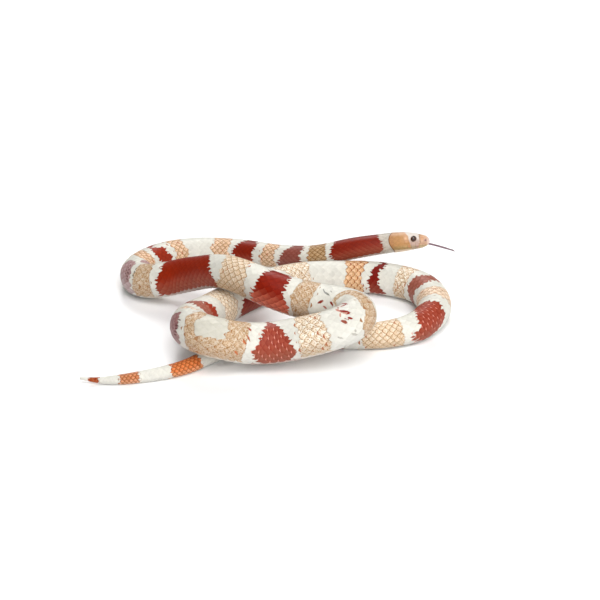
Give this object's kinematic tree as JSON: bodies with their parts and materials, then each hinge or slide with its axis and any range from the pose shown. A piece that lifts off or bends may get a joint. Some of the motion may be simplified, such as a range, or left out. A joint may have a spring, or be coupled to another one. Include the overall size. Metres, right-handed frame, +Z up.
{
  "type": "milk snake model",
  "caption": "Life-size still model of a ringed milk snake lying in a loose coil, its head raised and its forked tongue out.",
  "frame": {"origin": "on the floor under the middle of the coil's outline, tongue and tail included", "axes": "+Z up, +X the way the head points, -Y towards the open front of the coil where the tail comes out"},
  "size_m": [0.228, 0.1864, 0.0443],
  "materials": {
    "skin_head": "smooth head shields, tan orange with a white band across the eyes",
    "skin_banded": "satin scales in rings of brick red, white and speckled tan",
    "skin_tail": "satin scales in rings of orange and white",
    "eye": "wet dark eye under a clear scale",
    "tongue": "moist dark mauve"
  },
  "bodies": {
    "root": {"head": "skin_head", "lower_jaw": "skin_head", "eye_left": "eye", "eye_right": "eye", "tongue": "tongue", "neck": "skin_banded", "trunk_01": "skin_banded", "trunk_02": "skin_banded", "trunk_03": "skin_banded", "trunk_04": "skin_banded", "trunk_05": "skin_banded", "trunk_06": "skin_banded", "trunk_07": "skin_banded", "trunk_08": "skin_banded", "trunk_09": "skin_banded", "trunk_10": "skin_banded", "trunk_11": "skin_banded", "trunk_12": "skin_banded", "trunk_13": "skin_banded", "tail_1": "skin_tail", "tail_2": "skin_tail"}
  },
  "joints": []
}
